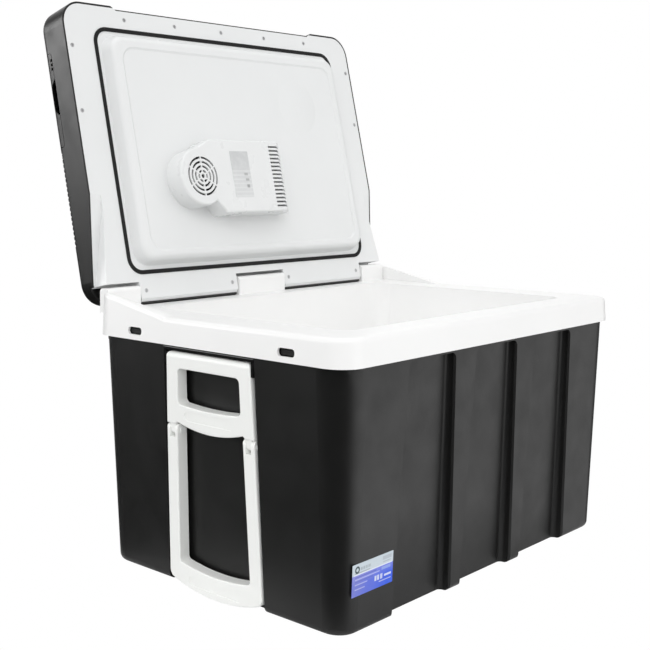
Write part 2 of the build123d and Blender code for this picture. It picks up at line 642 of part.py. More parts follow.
def door_space(inset):
    """The opening of the cord bay, over the lid's top left edge, with rounded lower corners."""
    low = LID_TOP - DOOR_WRAP + inset
    high = LID_TOP + 12
    y_mid = (DOOR_Y0 + DOOR_Y1) / 2
    outline = RectangleRounded(DOOR_Y1 - DOOR_Y0 - 2 * inset, high - low, DOOR_CORNER - inset)
    return extrude(Plane.YZ.offset(DOOR_X0 - 5) * Pos(y_mid, (low + high) / 2) * outline,
                   amount=DOOR_X1 - inset - DOOR_X0 + 5, dir=(1, 0, 0))


DOOR_WRAP = 17.5             # the door reaches this far down the lid's left side
DOOR_CORNER = 5.0
DOOR_GAP = 0.7
SCOOP_Y = -78.3              # finger scoop in the door's lower edge
SCOOP_HALF = 25.0
SCOOP_HEIGHT = 14.0
CORD_NOTCHES = (-130.0, -124.2, -118.4)
NOTCH_WIDTH = 3.8
DOOR_BARREL = 4.2
DOOR_HINGE_X = DOOR_X1 - DOOR_GAP - DOOR_BARREL
DOOR_HINGE_Z = LID_TOP - DOOR_BARREL
DOOR_PIN = 1.2


def make_cable_door():
    outside = lid_outline(0, LID_PLANE, LID_TOP)
    outside = fillet(outside.faces().sort_by(Axis.Z)[-1].edges(), 11)
    inside = lid_outline(LID_WALL, LID_PLANE - 1, LID_TOP - LID_WALL)
    inside = fillet(inside.faces().sort_by(Axis.Z)[-1].edges(), 9)
    door = (outside - inside) & door_space(DOOR_GAP) & block(DOOR_X0 - 5, DOOR_HINGE_X, -300, 300, 0, 500)
    door += rod_y(DOOR_HINGE_X, DOOR_Y0 + DOOR_GAP, DOOR_Y1 - DOOR_GAP, DOOR_HINGE_Z, DOOR_BARREL)
    door -= rod_y(DOOR_HINGE_X, DOOR_Y0, DOOR_Y1, DOOR_HINGE_Z, DOOR_PIN + RUNNING_FIT)
    edge = LID_TOP - DOOR_WRAP
    scoop = (SCOOP_HALF ** 2 + SCOOP_HEIGHT ** 2) / (2 * SCOOP_HEIGHT)
    door -= rod_x(-LID_HALF_X - 5, -LID_HALF_X + 12, SCOOP_Y, edge + SCOOP_HEIGHT - scoop, scoop)
    for y in CORD_NOTCHES:
        door -= block(-LID_HALF_X - 5, -LID_HALF_X + 12, y, y + NOTCH_WIDTH, edge - 2, edge + 4.5)
    return door


def make_cable_bay():
    """Tray under the door where the supply cords are kept."""
    x0 = -LID_HALF_X + 5.0
    tray = block(x0, DOOR_X1 + 3, DOOR_Y0 - 3, DOOR_Y1 + 3, BAY_FLOOR, LID_TOP - 13)
    tray -= block(x0 + 2, DOOR_X1 + 1, DOOR_Y0 - 1, DOOR_Y1 + 1, BAY_FLOOR + 2, LID_TOP)
    for y0, y1 in ((DOOR_Y0 - 3, DOOR_Y0 - 0.5), (DOOR_Y1 + 0.5, DOOR_Y1 + 3)):
        tray += block(DOOR_HINGE_X - 5, DOOR_X1 + 3, y0, y1, LID_TOP - 16, DOOR_HINGE_Z + 1.5)
    return tray - rod_y(DOOR_HINGE_X, DOOR_Y0 - 2.5, DOOR_Y1 + 2.5, DOOR_HINGE_Z, DOOR_PIN)


def make_door_pin():
    return rod_y(DOOR_HINGE_X, DOOR_Y0 - 2.5, DOOR_Y1 + 2.5, DOOR_HINGE_Z, DOOR_PIN)


def plug_solid(grow, z_low, z_high):
    """The raised plug of the lid, narrowing towards its face."""
    slope = 20.0
    run = math.tan(math.radians(slope))
    inset = (LID_PLANE - z_low) * run
    half = GASKET_HALF_X - 8.0 - inset + grow
    front = GASKET_FRONT + 8.0 + inset - grow
    back = GASKET_BACK - 8.0 - inset + grow
    return slab(-half, half, front, back, z_low, z_high, 20 - inset * 0.3 + grow, taper=-slope)


def rounded_plug(grow, z_low, radius):
    plug = plug_solid(grow, z_low, LID_PLANE + 1)
    return fillet(plug.faces().sort_by(Axis.Z)[0].edges(), radius)


def gasket_ring(half_width, z0, z1):
    outer = slab(-GASKET_HALF_X - half_width, GASKET_HALF_X + half_width, GASKET_FRONT - half_width,
                 GASKET_BACK + half_width, z0, z1, 20 + half_width)
    inner = slab(-GASKET_HALF_X + half_width, GASKET_HALF_X - half_width, GASKET_FRONT + half_width,
                 GASKET_BACK - half_width, z0 - 1, z1 + 1, 20 - half_width)
    return outer - inner


def shroud_outline(inset, z0, z1):
    """Round end over the fan and the outlet box that leaves it, with slanted shoulders."""
    end = SHROUD_END - UNIT_X - inset
    half = SHROUD_HALF - inset
    corners = [(-20 + inset, -31 + inset), (20, -half), (end, -half), (end, half), (37, half),
               (14, 28 - inset), (-20 + inset, 0)]
    drum = rod_z(UNIT_X, UNIT_Y, z0, z1, SHROUD_DRUM - inset)
    return drum + Pos(UNIT_X, UNIT_Y, 0) * prism_z(corners, z0, z1)


SCREW_HEAD = 2.9
SCREW_SPOTS = ([(x * 92.4, -181.2) for x in (-2, -1, 0, 1, 2)]
               + [(side * 279.5, y) for side in (-1, 1) for y in (-138.4, -51.4)]
               + [(side * x, 187.7) for side in (-1, 1) for x in (59.4, 218.8)])


def make_lid_panel():
    """Inner face of the lid: flat frame, raised plug, hinge barrels and edge ramps."""
    panel = lid_outline(LID_WALL + 0.2, LID_PLANE, LID_PLANE + 2.5)
    panel += rounded_plug(0, PLUG_FACE, PLUG_ROUND)
    inner = lid_outline(LID_WALL + 0.2, LID_PLANE, LID_PLANE + 38)
    panel += lid_clearances(2.5) & inner
    for side in (-1, 1):
        span = sorted((side * 50.8, side * 228.0))
        panel += block(span[0], span[1], HINGE_Y - 9, HINGE_Y, LID_PLANE, LID_PLANE + 2 * BARREL)
        panel += rod_x(span[0], span[1], HINGE_Y, HINGE_Z, BARREL)
    panel -= rounded_plug(-2.5, PLUG_FACE + 2.5, PLUG_ROUND - 2)
    panel -= plug_solid(-2.5, LID_PLANE - 0.5, LID_PLANE + 3)
    dish = (-DISH_HALF_X, DISH_HALF_X, DISH_FRONT, DISH_BACK)
    panel += slab(*dish, PLUG_FACE + 2, PANEL_FACE + 2.6, 22)
    panel -= slab(*dish, PLUG_FACE - 0.2, PANEL_FACE, 22, taper=60)
    dome_radius = (DOME_HALF ** 2 + DOME_HEIGHT ** 2) / (2 * DOME_HEIGHT)
    dome = Pos(DOME_X, DOME_Y, PANEL_FACE - DOME_HEIGHT + dome_radius) * Sphere(dome_radius)
    panel += dome & block(DOME_X - 50, DOME_X + 50, DOME_Y - 50, DOME_Y + 50, PANEL_FACE - 3, PANEL_FACE + 0.5)
    panel -= lid_clearances(0)
    for x0, x1 in ((-286, -231), (-46, 46), (231, 286)):
        panel -= block(x0, x1, HINGE_Y - POCKET_REACH + 1, 240, HINGE_Z + 12, LID_PLANE + 45)
    panel -= finger_notch(LID_PLANE + 30)
    panel -= gasket_ring(GASKET_WIDTH / 2, LID_PLANE - 1, LID_PLANE + 1.4)
    for side in (-1, 1):
        ends = sorted((side * 40.0, side * 240.0))
        panel -= rod_x(ends[0], ends[1], HINGE_Y, HINGE_Z, HINGE_ROD + RUNNING_FIT)
        bump = Pos(side * 125.0, GASKET_FRONT + 5.5, LID_PLANE + 1.5) * Sphere(2.4)
        panel += bump & block(-400, 400, -300, 300, LID_PLANE - 5, LID_PLANE + 0.5)
    panel -= unit_shaft(COLD_HALF + 1, PLUG_FACE - 5, LID_PLANE + 5)
    for x, y in SCREW_SPOTS:
        panel -= rod_z(x, y, LID_PLANE - 1, LID_PLANE + 1.4, SCREW_HEAD + 0.1)
    return panel


def make_lid_screw(x, y):
    head = rod_z(x, y, LID_PLANE + 0.2, LID_PLANE + 1.3, SCREW_HEAD)
    cross = block(x - 1.8, x + 1.8, y - 0.4, y + 0.4, LID_PLANE, LID_PLANE + 0.8)
    cross += block(x - 0.4, x + 0.4, y - 1.8, y + 1.8, LID_PLANE, LID_PLANE + 0.8)
    return head - cross


def make_lid_gasket():
    return gasket_ring(GASKET_WIDTH / 2 - 0.05, LID_PLANE - 1.0, LID_PLANE + 1.3)


def make_lid_foam():
    """Foam filling of the lid, cut away round the cooler unit and the cord bay."""
    fill = lid_outline(LID_WALL + 6, LID_PLANE + 3, LID_TOP - 16, taper=2.0)
    fill += rounded_plug(-3.0, PLUG_FACE + 5.2, PLUG_ROUND - 3)
    fill += plug_solid(-3.0, LID_PLANE, LID_PLANE + 3)
    fill -= lid_clearances(3.2)
    for x0, x1 in ((-300, -228), (-49, 49), (228, 300)):
        fill -= block(x0, x1, HINGE_Y - POCKET_REACH - 3, 240, 300, LID_TOP)
    for side in (-1, 1):
        span = sorted((side * 45.0, side * 232.0))
        fill -= block(span[0], span[1], HINGE_Y - 11, 240, 300, LID_PLANE + 18)
    fill -= block(-LID_HALF_X - 5, DOOR_X1 + 4, DOOR_Y0 - 4, DOOR_Y1 + 4, BAY_FLOOR - 1, 400)
    fill -= unit_shaft(21, 300, 400)
    fill -= unit_shaft(COLD_HALF + 1, 300, SPACER_LOW + 1)
    fill -= unit_shaft(HOT_HALF + 2, HOT_PLATE - 1, 400)
    fill -= block(-300, UNIT_X, LOUVRE_Y0 - 4, LOUVRE_Y0 + LOUVRE_COUNT * LOUVRE_PITCH, HOT_FINS, 400)
    fill -= block(-70, 30, 5, 75, BOARD_LOW - 3, 400)
    return fill


# ---- cooler unit in the lid ---------------------------------------------------------------------------
# It is a stack along Z, from the cold fan behind the shroud up to the outer fan under the vent cover.
GRILLE_RINGS = 4
GRILLE_RADIUS = 27.0
GRILLE_PITCH = 6.1
GRILLE_SLOT = 2.9
OUTLET_SLOTS = 16
OUTLET_PITCH = 5.74


def make_fan_shroud():
    """Cover of the cold side: drum with the air inlet and a box with the outlet slots."""
    shroud = shroud_outline(0, SHROUD_FACE, PANEL_FACE)
    shroud = fillet(shroud.faces().sort_by(Axis.Z)[0].edges(), 3)
    ramp_top = SHROUD_END - 19
    shroud -= prism_y([(ramp_top, SHROUD_FACE - 3), (60, SHROUD_FACE - 3), (60, SHROUD_FACE + 21)], -20, 110)
    hollow = shroud_outline(2.0, SHROUD_FACE + 2.2, PANEL_FACE + 1)
    hollow -= prism_y([(ramp_top - 3, SHROUD_FACE - 3), (60, SHROUD_FACE - 3), (60, SHROUD_FACE + 23)], -20, 110)
    shroud -= hollow
    for ring in range(GRILLE_RINGS):
        outer = GRILLE_RADIUS - ring * GRILLE_PITCH
        cut = rod_z(UNIT_X, UNIT_Y, SHROUD_FACE - 2, SHROUD_FACE + 3, outer)
        cut -= rod_z(UNIT_X, UNIT_Y, SHROUD_FACE - 3, SHROUD_FACE + 4, outer - GRILLE_SLOT)
        for spoke in (30, 90, 150):
            cut -= Pos(UNIT_X, UNIT_Y, SHROUD_FACE) * Rot(0, 0, spoke) * Box(70, 1.9, 8)
        shroud -= cut
    shroud -= rod_z(UNIT_X, UNIT_Y, SHROUD_FACE - 2, SHROUD_FACE + 3, GRILLE_SLOT)
    for i in range(OUTLET_SLOTS):
        y = 0.8 + i * OUTLET_PITCH
        shroud -= block(11.0, 39.0, y, y + 2.7, SHROUD_FACE - 5, SHROUD_FACE + 12)
    return shroud


def make_shroud_label():
    return block(-70.0, -34.5, 9.8, 74.9, SHROUD_FACE - 0.3, SHROUD_FACE)


def fan_frame(half, z0, z1, bore):
    frame = slab(UNIT_X - half, UNIT_X + half, UNIT_Y - half, UNIT_Y + half, z0, z1, 4)
    frame -= rod_z(UNIT_X, UNIT_Y, z0 - 1, z1 + 1, bore)
    strut = block(UNIT_X - bore - 1, UNIT_X + bore + 1, UNIT_Y - 1.5, UNIT_Y + 1.5, z1 - 1.5, z1)
    for turn in (30, 150, 270):
        arm = strut & block(UNIT_X, UNIT_X + 80, UNIT_Y - 5, UNIT_Y + 5, z0, z1)
        frame += arm.rotate(Axis((UNIT_X, UNIT_Y, 0), (0, 0, 1)), turn)
    frame += rod_z(UNIT_X, UNIT_Y, z1 - 1.5, z1, 9)
    frame += rod_z(UNIT_X, UNIT_Y, z0 + 4, z1, 1.5)
    return frame


def fan_rotor(z0, z1, tip, blades=7):
    hub = rod_z(UNIT_X, UNIT_Y, z0, z1, 9)
    for k in range(blades):
        blade = Pos(UNIT_X + (tip + 7) / 2, UNIT_Y, (z0 + z1) / 2) * Rot(32, 0, 0) * Box(tip - 7, 11, 1.2)
        blade &= block(UNIT_X - 80, UNIT_X + 80, UNIT_Y - 80, UNIT_Y + 80, z0, z1)
        hub += blade.rotate(Axis((UNIT_X, UNIT_Y, 0), (0, 0, 1)), 360 / blades * k)
    hub &= rod_z(UNIT_X, UNIT_Y, z0, z1, tip)
    return hub - rod_z(UNIT_X, UNIT_Y, z0 + 2, z1 + 1, 1.5 + RUNNING_FIT)


def make_cold_sink():
    sink = unit_shaft(COLD_HALF, COLD_PLATE, SPACER_LOW)
    for i in range(8):
        x = UNIT_X - COLD_HALF + i * 7.07
        sink += block(x, x + 1.5, UNIT_Y - COLD_HALF, UNIT_Y + COLD_HALF, COLD_FINS, COLD_PLATE)
    return sink


def make_hot_sink():
    sink = unit_shaft(HOT_HALF, HOT_PLATE, HOT_FINS)
    for i in range(15):
        x = UNIT_X - 44.5 + i * 6.25
        sink += block(x, x + 1.4, UNIT_Y - HOT_HALF, UNIT_Y + HOT_HALF, HOT_FINS, HOT_FAN_LOW)
    return sink


def make_vent_cover():
    """Round grille over the outer fan, flush with the lid's top."""
    top = LID_TOP - 1.4
    cover = rod_z(UNIT_X, UNIT_Y, top - 3, top, 43.6)
    for ring in range(5):
        outer = 40.0 - ring * 7.0
        cut = rod_z(UNIT_X, UNIT_Y, top - 5, top + 2, outer) - rod_z(UNIT_X, UNIT_Y, top - 6, top + 3, outer - 4.4)
        for spoke in range(4):
            cut -= Pos(UNIT_X, UNIT_Y, top) * Rot(0, 0, 45 * spoke + 22.5) * Box(100, 2.6, 14)
        cover -= cut
    return cover


def make_control_board():
    board = block(-64, 24, 10, 70, BOARD_LOW, BOARD_TOP)
    board += block(-58, -34, 16, 40, BOARD_TOP, 368)
    board += block(-26, -10, 18, 34, BOARD_TOP, 366)
    for i in range(4):
        board += rod_z(0 + (i % 2) * 14, 22 + (i // 2) * 18, BOARD_TOP, 369, 4)
    return board


def make_bay_socket(y_mid, width, height):
    """Appliance inlet on the inner wall of the cord bay, pointing at the door side."""
    x1 = DOOR_X1 + 1
    z_mid = BAY_FLOOR + 11
    body = block(x1 - 9, x1, y_mid - width / 2, y_mid + width / 2, z_mid - height / 2, z_mid + height / 2)
    body -= block(x1 - 10, x1 - 3, y_mid - width / 2 + 2.5, y_mid + width / 2 - 2.5,
                  z_mid - height / 2 + 2.5, z_mid + height / 2 - 2.5)
    for pin in (-1, 1):
        body += rod_x(x1 - 8, x1 - 2, y_mid + pin * width / 5, z_mid, 1.2)
    return body


SWITCH_Y = -112.0
SWITCH_Z = BAY_FLOOR + 11.0


def make_switch_frame():
    """Bezel of the mode switch, fixed to the bay's inner wall."""
    x1 = DOOR_X1 + 1
    frame = block(x1 - 12, x1, SWITCH_Y - 12, SWITCH_Y + 12, SWITCH_Z - 8, SWITCH_Z + 8)
    frame -= block(x1 - 13, x1 - 2, SWITCH_Y - 9.5, SWITCH_Y + 9.5, SWITCH_Z - 5.5, SWITCH_Z + 5.5)
    pivot_x = x1 - 8
    for side in (-1, 1):
        ends = sorted((side * 3.6, side * 6.0))
        frame += rod_z(pivot_x, SWITCH_Y, SWITCH_Z + ends[0], SWITCH_Z + ends[1], 1.0)
    return frame


def make_switch_rocker():
    x1 = DOOR_X1 + 1
    pivot_x = x1 - 8
    rocker = prism_z([(pivot_x + 3, SWITCH_Y - 5), (pivot_x - 2, SWITCH_Y - 8.5), (pivot_x - 4, SWITCH_Y - 8.5),
                      (pivot_x - 2.5, SWITCH_Y), (pivot_x - 4, SWITCH_Y + 8.5), (pivot_x - 2, SWITCH_Y + 8.5),
                      (pivot_x + 3, SWITCH_Y + 5)], SWITCH_Z - 5, SWITCH_Z + 5)
    return rocker - rod_z(pivot_x, SWITCH_Y, SWITCH_Z - 7, SWITCH_Z + 7, 1.0 + RUNNING_FIT)


def corner_screws(half, z0, z1, radius):
    return group(rod_z(UNIT_X + sx * half, UNIT_Y + sy * half, z0, z1, radius)
                 for sx in (-1, 1) for sy in (-1, 1))


# ---- write every piece ----------------------------------------------------------------------------------
os.makedirs("parts", exist_ok=True)

save("outer_shell", make_outer_shell())
save("inner_liner", make_inner_liner())
save("foam_insulation", make_foam())
save("hinge_rod_left", make_hinge_rod(-1))
save("hinge_rod_right", make_hinge_rod(1))
save("rating_label", make_rating_label())
save("foot_ring", make_foot_ring())
save("foot_screws", make_foot_screws())
save("axle_mounts", make_axle_mount())
save("axle_pins", make_axle())
save("wheel_front", make_wheel_hub(-1))
save("wheel_back", make_wheel_hub(1))
save("tyre_front", make_tyre(-1))
save("tyre_back", make_tyre(1))

save("handle_bracket", make_handle_bracket())
save("handle_rod", make_handle_rod())
save("handle_upper", make_handle_upper())
save("handle_lower", make_handle_lower())
save("handle_pins", make_handle_pins())

for lid_name, lid_piece in {
    "lid_shell": make_lid_shell(),
    "lid_panel": make_lid_panel(),
    "lid_foam": make_lid_foam(),
    "lid_gasket": make_lid_gasket(),
    "lid_screws": group(make_lid_screw(x, y) for x, y in SCREW_SPOTS),
    "fan_shroud": make_fan_shroud(),
    "shroud_label": make_shroud_label(),
    "inner_fan_frame": fan_frame(25, COLD_FAN_LOW, COLD_FAN_HIGH, 23.5),
    "inner_fan_rotor": fan_rotor(COLD_FAN_LOW + 1, COLD_FAN_HIGH - 2, 22.5),
    "inner_fan_screws": corner_screws(21.5, COLD_FAN_LOW - 2, COLD_FAN_LOW, 2.0),
    "cold_sink": make_cold_sink(),
    "spacer_block": unit_shaft(20, SPACER_LOW, MODULE_LOW),
    "peltier_module": unit_shaft(20, MODULE_LOW, HOT_PLATE),
    "hot_sink": make_hot_sink(),
    "outer_fan_frame": fan_frame(40, HOT_FAN_LOW, HOT_FAN_HIGH, 37.5),
    "outer_fan_rotor": fan_rotor(HOT_FAN_LOW + 1, HOT_FAN_HIGH - 2, 36.5, blades=9),
    "outer_fan_screws": corner_screws(36, HOT_FAN_HIGH, HOT_FAN_HIGH + 2, 2.2),
    "vent_cover": make_vent_cover(),
    "control_board": make_control_board(),
    "cable_bay": make_cable_bay(),
    "cable_door": make_cable_door(),
    "door_pin": make_door_pin(),
    "mains_inlet": make_bay_socket(-44.0, 28, 17),
    "dc_inlet": make_bay_socket(-78.0, 20, 14),
    "mode_switch_frame": make_switch_frame(),
    "mode_switch_rocker": make_switch_rocker(),
}.items():
    save(lid_name, open_lid(lid_piece))
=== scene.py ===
"""Looks for the trolley cool box: materials, fine detail, light, floor and camera round the CAD frame."""
import json
import math

import bpy
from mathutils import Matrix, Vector


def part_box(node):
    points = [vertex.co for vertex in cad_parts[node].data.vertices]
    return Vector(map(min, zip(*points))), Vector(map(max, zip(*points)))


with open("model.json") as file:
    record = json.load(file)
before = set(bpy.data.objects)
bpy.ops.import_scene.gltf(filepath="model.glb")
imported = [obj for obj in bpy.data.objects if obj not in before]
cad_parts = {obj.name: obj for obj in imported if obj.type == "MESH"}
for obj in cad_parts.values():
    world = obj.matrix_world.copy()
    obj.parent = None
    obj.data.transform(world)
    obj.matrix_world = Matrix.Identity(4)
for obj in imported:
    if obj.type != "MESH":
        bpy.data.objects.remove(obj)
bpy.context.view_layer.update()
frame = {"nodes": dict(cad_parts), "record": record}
nodes = frame["nodes"]

# ---- camera ---------------------------------------------------------------------------------
SENSOR = 36.0            # millimetres, with the lens
LENS = 61.7538
SHIFT_X = 0.13077        # fractions of the picture's width
SHIFT_Y = -0.10308
CAMERA_PLACE = Vector((-1.1704, -0.9109, 0.4988))
CAMERA_YAW = -45.68      # degrees, like the next two
CAMERA_PITCH = 4.07
CAMERA_ROLL = 0.08


def make_camera():
    """A long lens in front of the handle corner, shifted because the box stands off the lens axis."""
    data = bpy.data.cameras.new("camera")
    data.sensor_width = SENSOR
    data.lens = LENS
    data.shift_x = SHIFT_X
    data.shift_y = SHIFT_Y
    data.clip_end = 60.0
    camera = bpy.data.objects.new("camera", data)
    bpy.context.scene.collection.objects.link(camera)
    camera.location = CAMERA_PLACE
    camera.rotation_mode = "XYZ"
    tilt = math.radians(90.0 - CAMERA_PITCH)
    camera.rotation_euler = (tilt, math.radians(CAMERA_ROLL), math.radians(CAMERA_YAW))
    bpy.context.scene.camera = camera


# ---- node helpers ------------------------------------------------------------------------------
class Shader:
    """A new material with a Principled surface and short calls for its nodes."""

    def __init__(self, name):
        self.material = bpy.data.materials.new(name)
        self.material.use_nodes = True
        self.tree = self.material.node_tree
        self.surface = self.tree.nodes["Principled BSDF"]
        self.place = self.new("ShaderNodeTexCoord").outputs["Object"]

    def new(self, kind, **settings):
        node = self.tree.nodes.new(kind)
        for key, value in settings.items():
            setattr(node, key, value)
        return node

    def link(self, source, target):
        self.tree.links.new(source, target)

    def stretch(self, scale):
        mapping = self.new("ShaderNodeMapping")
        mapping.inputs["Scale"].default_value = scale
        self.link(self.place, mapping.inputs["Vector"])
        return mapping.outputs["Vector"]

    def noise(self, scale, detail, rough=0.55, vector=None):
        node = self.new("ShaderNodeTexNoise")
        node.inputs["Scale"].default_value = scale
        node.inputs["Detail"].default_value = detail
        node.inputs["Roughness"].default_value = rough
        self.link(vector or self.place, node.inputs["Vector"])
        return node.outputs["Fac"]

    def span(self, value, low, high, start=0.3, end=0.7):
        node = self.new("ShaderNodeMapRange")
        for name, number in (("From Min", start), ("From Max", end), ("To Min", low), ("To Max", high)):
            node.inputs[name].default_value = number
        self.link(value, node.inputs["Value"])
        return node.outputs["Result"]

    def math(self, operation, *values):
        node = self.new("ShaderNodeMath", operation=operation)
        for socket, value in zip(node.inputs, values):
            if isinstance(value, (int, float)):
                socket.default_value = value
            else:
                self.link(value, socket)
        return node.outputs[0]

    def mix(self, amount, first, second):
        node = self.new("ShaderNodeMix", data_type="RGBA")
        self.link(amount, node.inputs[0])
        for socket, value in ((node.inputs[6], first), (node.inputs[7], second)):
            if isinstance(value, tuple):
                socket.default_value = (*value, 1.0)
            else:
                self.link(value, socket)
        return node.outputs[2]

    def bump(self, height, depth):
        node = self.new("ShaderNodeBump")
        node.inputs["Strength"].default_value = 1.0
        node.inputs["Distance"].default_value = depth
        self.link(height, node.inputs["Height"])
        return node.outputs["Normal"]

    def across_face(self, name):
        """Fractions along X and Z of the node's own box, for print laid on its front."""
        parts = self.new("ShaderNodeSeparateXYZ")
        self.link(self.place, parts.inputs[0])
        low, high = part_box(name)
        u = self.span(parts.outputs["X"], 0.0, 1.0, low[0], high[0])
        v = self.span(parts.outputs["Z"], 0.0, 1.0, low[2], high[2])
        return u, v

    def set(self, **values):
        for key, value in values.items():
            socket = self.surface.inputs[key.replace("_", " ")]
            if isinstance(value, (int, float)):
                socket.default_value = value
            else:
                self.link(value, socket)


DRIFT_SCALE = 9.0        # slow colour drift of a moulding, in noise cells per metre
POLISH_SCALE = 26.0      # uneven gloss of a moulding
METAL_SCALE = 60.0       # tool lines of a metal
METAL_SHADE = 0.86       # how dark the tool lines are


def moulded(name, dark, light, rough, grain_scale, grain_depth, specular=0.5, rough_spread=0.06):
    """Injection-moulded plastic: eroded grain, slow colour drift and uneven gloss."""
    s = Shader(name)
    drift = s.span(s.noise(DRIFT_SCALE, 3.0), 0.0, 1.0)
    fine = s.noise(grain_scale, 2.0, 0.6)
    colour = s.mix(drift, dark, light)
    polish = s.span(s.noise(POLISH_SCALE, 5.0), rough - rough_spread, rough + rough_spread)
    s.set(Base_Color=colour, Roughness=polish, Specular_IOR_Level=specular)
    s.set(Normal=s.bump(fine, grain_depth))
    return s.material


def metal(name, colour, rough, stretch, depth):
    """Drawn, sawn or extruded metal with fine lines along one direction."""
    s = Shader(name)
    lines = s.noise(METAL_SCALE, 6.0, 0.7, s.stretch(stretch))
    shade = s.mix(s.span(lines, 0.0, 1.0), tuple(c * METAL_SHADE for c in colour), colour)
    s.set(Base_Color=shade, Metallic=1.0, Roughness=s.span(lines, rough - 0.06, rough + 0.1))
    s.set(Normal=s.bump(lines, depth))
    return s.material


# ---- print on the two labels -----------------------------------------------------------------------
WHITE_INK = (0.85, 0.88, 0.95)
GREY_INK = (0.22, 0.26, 0.29)
BLUE_INK = (0.05, 0.08, 0.40)
LABEL_WIDE = 0.071       # metres
LABEL_HIGH = 0.0355
FIELD_LEFT = (0.17, 0.20, 0.66)
FIELD_RIGHT = (0.030, 0.11, 0.80)
FIELD_TOP = (0.36, 0.36, 0.82)
HEAD_SILVER = (0.60, 0.68, 0.74)
RING_PLACE = (0.115, 0.815)
RING_RADIUS = 0.085
RING_WIDTH = 0.035
RING_INK = (0.05, 0.08, 0.09)
# Bars in place of print: box u0, u1, v0, v1 as fractions of the label, strength and ink.
LABEL_BARS = [
    ((0.04, 0.97, 0.655, 0.675), 0.85, WHITE_INK),
    ((0.06, 0.42, 0.700, 0.722), 0.55, GREY_INK),
    ((0.20, 0.235, 0.78, 0.86), 0.5, GREY_INK),
    ((0.26, 0.295, 0.78, 0.86), 0.5, GREY_INK),
    ((0.32, 0.355, 0.78, 0.86), 0.45, GREY_INK),
    ((0.38, 0.43, 0.78, 0.86), 0.4, GREY_INK),
    ((0.74, 0.95, 0.82, 0.93), 0.45, (0.33, 0.36, 0.42)),
    ((0.75, 0.93, 0.745, 0.765), 0.4, GREY_INK),
    ((0.07, 0.58, 0.575, 0.597), 0.5, BLUE_INK),
    ((0.07, 0.66, 0.505, 0.525), 0.4, WHITE_INK),
    ((0.07, 0.50, 0.435, 0.457), 0.35, BLUE_INK),
    ((0.72, 0.93, 0.52, 0.60), 0.4, (0.45, 0.62, 0.85)),
    ((0.07, 0.36, 0.345, 0.367), 0.35, WHITE_INK),
    ((0.07, 0.30, 0.20, 0.222), 0.35, WHITE_INK),
    ((0.55, 0.585, 0.25, 0.40), 0.75, WHITE_INK),
    ((0.615, 0.65, 0.25, 0.40), 0.75, WHITE_INK),
    ((0.69, 0.735, 0.25, 0.40), 0.65, WHITE_INK),
    ((0.79, 0.95, 0.29, 0.345), 0.75, WHITE_INK),
    ((0.66, 0.95, 0.165, 0.187), 0.45, WHITE_INK),
]
PLATE_LINES = 11
PLATE_PALE = (0.78, 0.79, 0.79)
PLATE_GREY = (0.36, 0.37, 0.38)
PLATE_BARS = [
    ((0.66, 0.82, 0.49, 0.51), 0.45, (0.1, 0.1, 0.1)),
    ((0.70, 0.86, 0.37, 0.39), 0.45, (0.1, 0.1, 0.1)),
    ((0.72, 0.84, 0.22, 0.26), 0.55, (0.08, 0.08, 0.08)),
]


def stroke(s, u, v, u0, u1, v0, v1, soft=0.012):
    """One inside the box u0..u1, v0..v1, zero outside, with soft edges."""
    mask = s.span(u, 0.0, 1.0, u0 - soft, u0)
    mask = s.math("MULTIPLY", mask, s.span(u, 1.0, 0.0, u1, u1 + soft))
    mask = s.math("MULTIPLY", mask, s.span(v, 0.0, 1.0, v0 - soft, v0))
    return s.math("MULTIPLY", mask, s.span(v, 1.0, 0.0, v1, v1 + soft))


def ring_mark(s, u, v, centre, radius, width):
    """One on a round line, true to shape on the wide label."""
    across = s.math("MULTIPLY", s.math("SUBTRACT", u, centre[0]), LABEL_WIDE / LABEL_HIGH)
    up = s.math("SUBTRACT", v, centre[1])
    squares = s.math("ADD", s.math("MULTIPLY", across, across), s.math("MULTIPLY", up, up))
    offset = s.math("ABSOLUTE", s.math("SUBTRACT", s.math("SQRT", squares), radius))
    return s.span(offset, 1.0, 0.0, width * 0.7, width)


def printed_label(name):
    """Glossy film: silver head band over a blue field, with plain bars where print would be."""
    s = Shader(name)
    u, v = s.across_face("rating_label")
    drift = s.noise(38.0, 3.0)
    sideways = s.math("ADD", u, s.math("MULTIPLY", drift, 0.5))
    field = s.mix(s.span(sideways, 0.0, 1.0, 0.3, 1.1), FIELD_LEFT, FIELD_RIGHT)
    field = s.mix(s.span(v, 0.0, 0.5, 0.35, 0.66), field, FIELD_TOP)
    colour = s.mix(s.span(v, 0.0, 1.0, 0.645, 0.665), field, HEAD_SILVER)
    for box, amount, tint in LABEL_BARS:
        colour = s.mix(s.math("MULTIPLY", stroke(s, u, v, *box), amount), colour, tint)
    ring = ring_mark(s, u, v, RING_PLACE, RING_RADIUS, RING_WIDTH)
    colour = s.mix(ring, colour, RING_INK)
    s.set(Base_Color=colour, Roughness=s.span(drift, 0.16, 0.24), Specular_IOR_Level=0.5)
    return s.material


